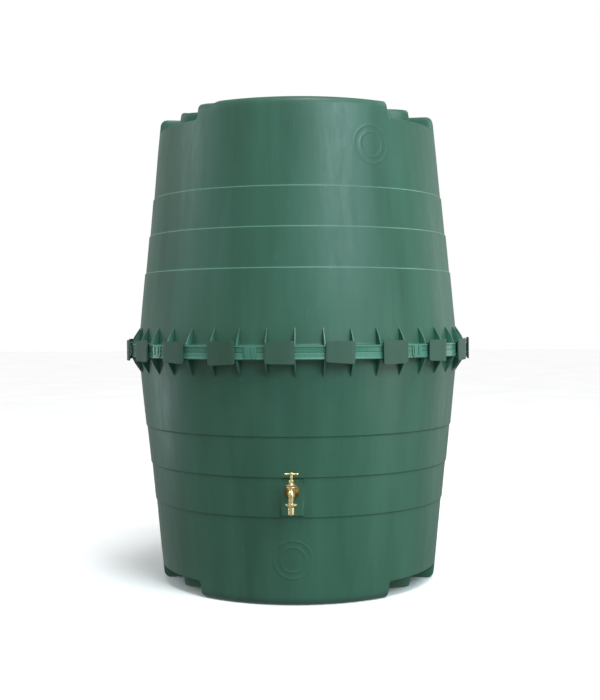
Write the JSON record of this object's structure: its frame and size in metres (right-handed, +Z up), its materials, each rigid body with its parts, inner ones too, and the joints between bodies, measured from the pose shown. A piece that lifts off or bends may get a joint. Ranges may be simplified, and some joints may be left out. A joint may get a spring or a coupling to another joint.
{
  "type": "rain barrel",
  "caption": "Garden rainwater tank of two tapering plastic shells clipped together at a ribbed flange, on hollow feet, with a lift-off lid and a brass tap near the base.",
  "frame": {"origin": "centre of the footprint, on the surface the tank stands on", "axes": "+Z up the tank's axis, -Y towards the tap"},
  "size_m": [1.2, 1.2, 1.6],
  "materials": {
    "shell": "satin moulded polyethylene",
    "clip": "matt moulded plastic",
    "lid": "satin moulded polyethylene",
    "rubber": "matt",
    "fibre": "matt fibre",
    "brass": "polished"
  },
  "bodies": {
    "tank": {"lower_shell": "shell", "upper_shell": "shell", "flange_seal": "rubber", "clip_01": "clip", "clip_02": "clip", "clip_03": "clip", "clip_04": "clip", "clip_05": "clip", "clip_06": "clip", "clip_07": "clip", "clip_08": "clip", "clip_09": "clip", "clip_10": "clip", "clip_11": "clip", "clip_12": "clip", "clip_13": "clip", "clip_14": "clip", "clip_15": "clip", "clip_16": "clip", "clip_17": "clip", "clip_18": "clip", "clip_19": "clip", "clip_20": "clip", "outer_washer": "rubber", "rosette": "brass", "inner_washer": "rubber", "backnut": "brass", "tap_body": "brass", "bonnet_washer": "fibre", "bonnet": "brass", "gland_packing": "fibre", "gland_nut": "brass", "hose_washer": "rubber", "hose_tail": "brass", "union_nut": "brass"},
    "lid_seal": {"lid_gasket": "rubber"},
    "lid": {"lid": "lid"},
    "jumper": {"jumper_valve": "brass", "valve_washer": "rubber", "washer_nut": "brass"},
    "handle": {"spindle": "brass", "t_handle": "brass", "handle_screw": "brass"}
  },
  "joints": [
    {"name": "lid_lift", "type": "slide", "parent": "tank", "child": "lid_seal", "axis": [0, 0, 1], "range_m": [0, 0.25]},
    {"name": "lid_turn", "type": "hinge", "parent": "lid_seal", "child": "lid", "pos_m": [0, 0, 1.576], "axis": [0, 0, 1], "continuous": true},
    {"name": "valve_lift", "type": "slide", "parent": "tank", "child": "jumper", "axis": [0, 0, 1], "range_m": [0, 0.00624]},
    {"name": "handle_turn", "type": "hinge", "parent": "jumper", "child": "handle", "pos_m": [0, -0.5585, 0.42], "axis": [0, 0, 1], "range_deg": [0, 900]}
  ],
  "couplings": [
    {"joint": "handle_turn", "follows": "valve_lift", "rad_per_m": 2513.3}
  ]
}
